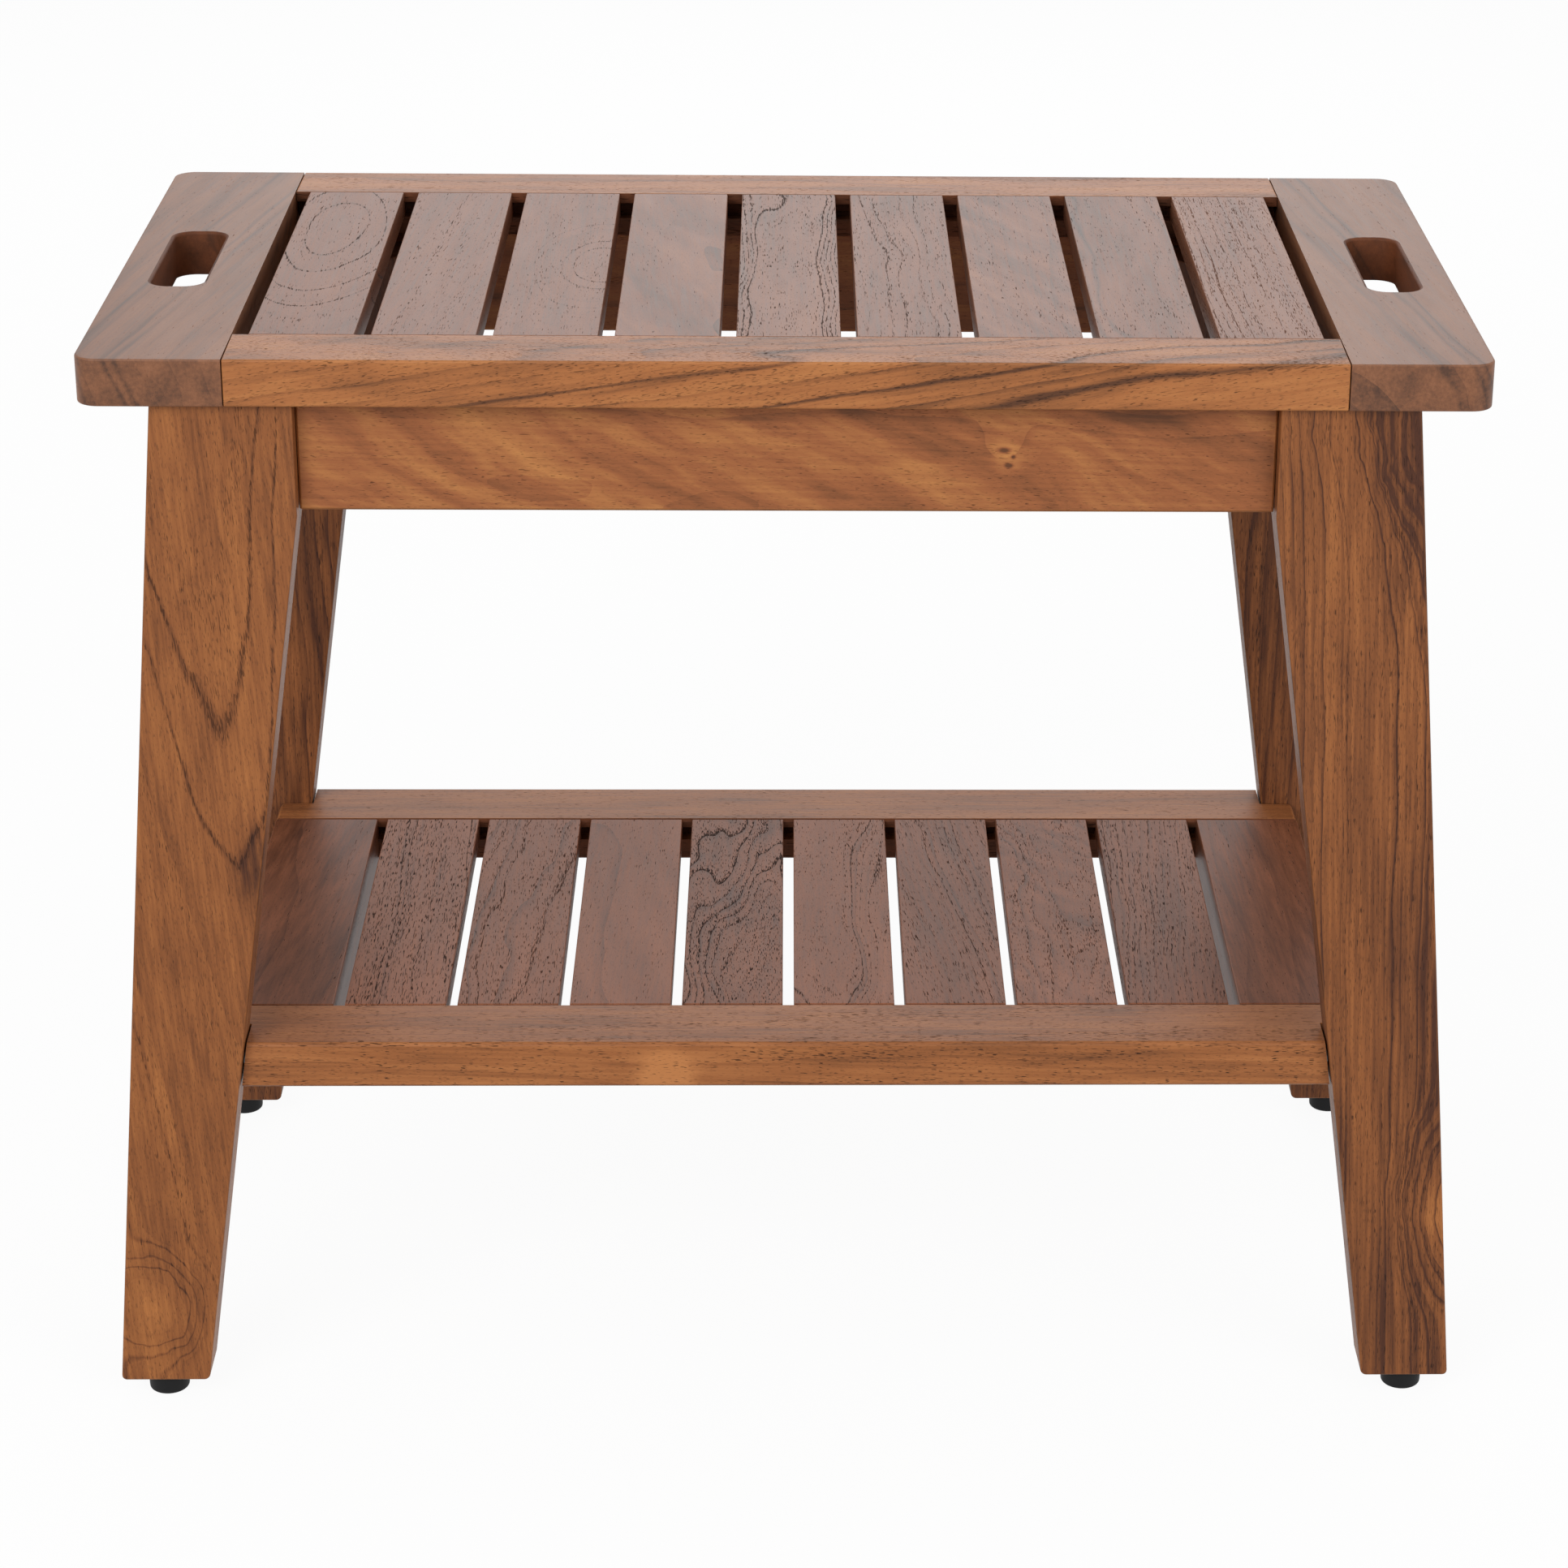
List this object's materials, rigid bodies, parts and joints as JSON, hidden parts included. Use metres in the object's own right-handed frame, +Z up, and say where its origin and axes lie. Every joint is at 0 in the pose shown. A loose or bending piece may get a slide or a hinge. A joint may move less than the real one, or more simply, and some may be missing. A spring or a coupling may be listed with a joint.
{
  "type": "slatted teak bench with shelf",
  "caption": "Low slatted wooden bench for a bathroom or shower: a framed seat with hand-hold slots in its ends, splayed tapered legs, aprons and a slatted shelf below.",
  "frame": {"origin": "on the floor under the middle of the bench", "axes": "+X to the bench's right seen from the front, +Y from the front to the rear, +Z up"},
  "size_m": [0.6304, 0.33, 0.5125],
  "materials": {
    "seat_teak": "oiled, weathered to a mauve brown",
    "rail_teak": "oiled, golden brown",
    "leg_teak": "oiled, reddish brown",
    "shelf_teak": "oiled, darker brown with fine dark flecks",
    "inner_teak": "sanded, lightly oiled",
    "dowel_wood": "bare",
    "foot_rubber": "matt black",
    "fastener_steel": "stainless steel"
  },
  "bodies": {
    "root": {"end_board_left": "seat_teak", "end_board_right": "seat_teak", "seat_slat_1": "seat_teak", "seat_slat_2": "seat_teak", "seat_slat_3": "seat_teak", "seat_slat_4": "seat_teak", "seat_slat_5": "seat_teak", "seat_slat_6": "seat_teak", "seat_slat_7": "seat_teak", "seat_slat_8": "seat_teak", "seat_slat_9": "seat_teak", "seat_rail_front": "rail_teak", "seat_rail_rear": "rail_teak", "apron_front": "rail_teak", "apron_rear": "rail_teak", "leg_front_left": "leg_teak", "leg_front_right": "leg_teak", "leg_rear_left": "leg_teak", "leg_rear_right": "leg_teak", "bolt_plugs": "leg_teak", "shelf_rail_front": "shelf_teak", "shelf_rail_rear": "shelf_teak", "shelf_end_left": "shelf_teak", "shelf_end_right": "shelf_teak", "shelf_slat_1": "shelf_teak", "shelf_slat_2": "shelf_teak", "shelf_slat_3": "shelf_teak", "shelf_slat_4": "shelf_teak", "shelf_slat_5": "shelf_teak", "shelf_slat_6": "shelf_teak", "shelf_slat_7": "shelf_teak", "shelf_slat_8": "shelf_teak", "apron_left": "inner_teak", "apron_right": "inner_teak", "corner_block_front_left": "inner_teak", "corner_block_front_right": "inner_teak", "corner_block_rear_left": "inner_teak", "corner_block_rear_right": "inner_teak", "seat_rail_dowels": "dowel_wood", "seat_leg_dowels": "dowel_wood", "apron_dowels": "dowel_wood", "side_apron_dowels": "dowel_wood", "foot_front_left": "foot_rubber", "foot_front_right": "foot_rubber", "foot_rear_left": "foot_rubber", "foot_rear_right": "foot_rubber", "foot_washers": "fastener_steel", "foot_screws": "fastener_steel", "block_screws": "fastener_steel", "seat_screws": "fastener_steel", "shelf_bolts": "fastener_steel", "shelf_barrel_nuts": "fastener_steel"}
  },
  "joints": []
}
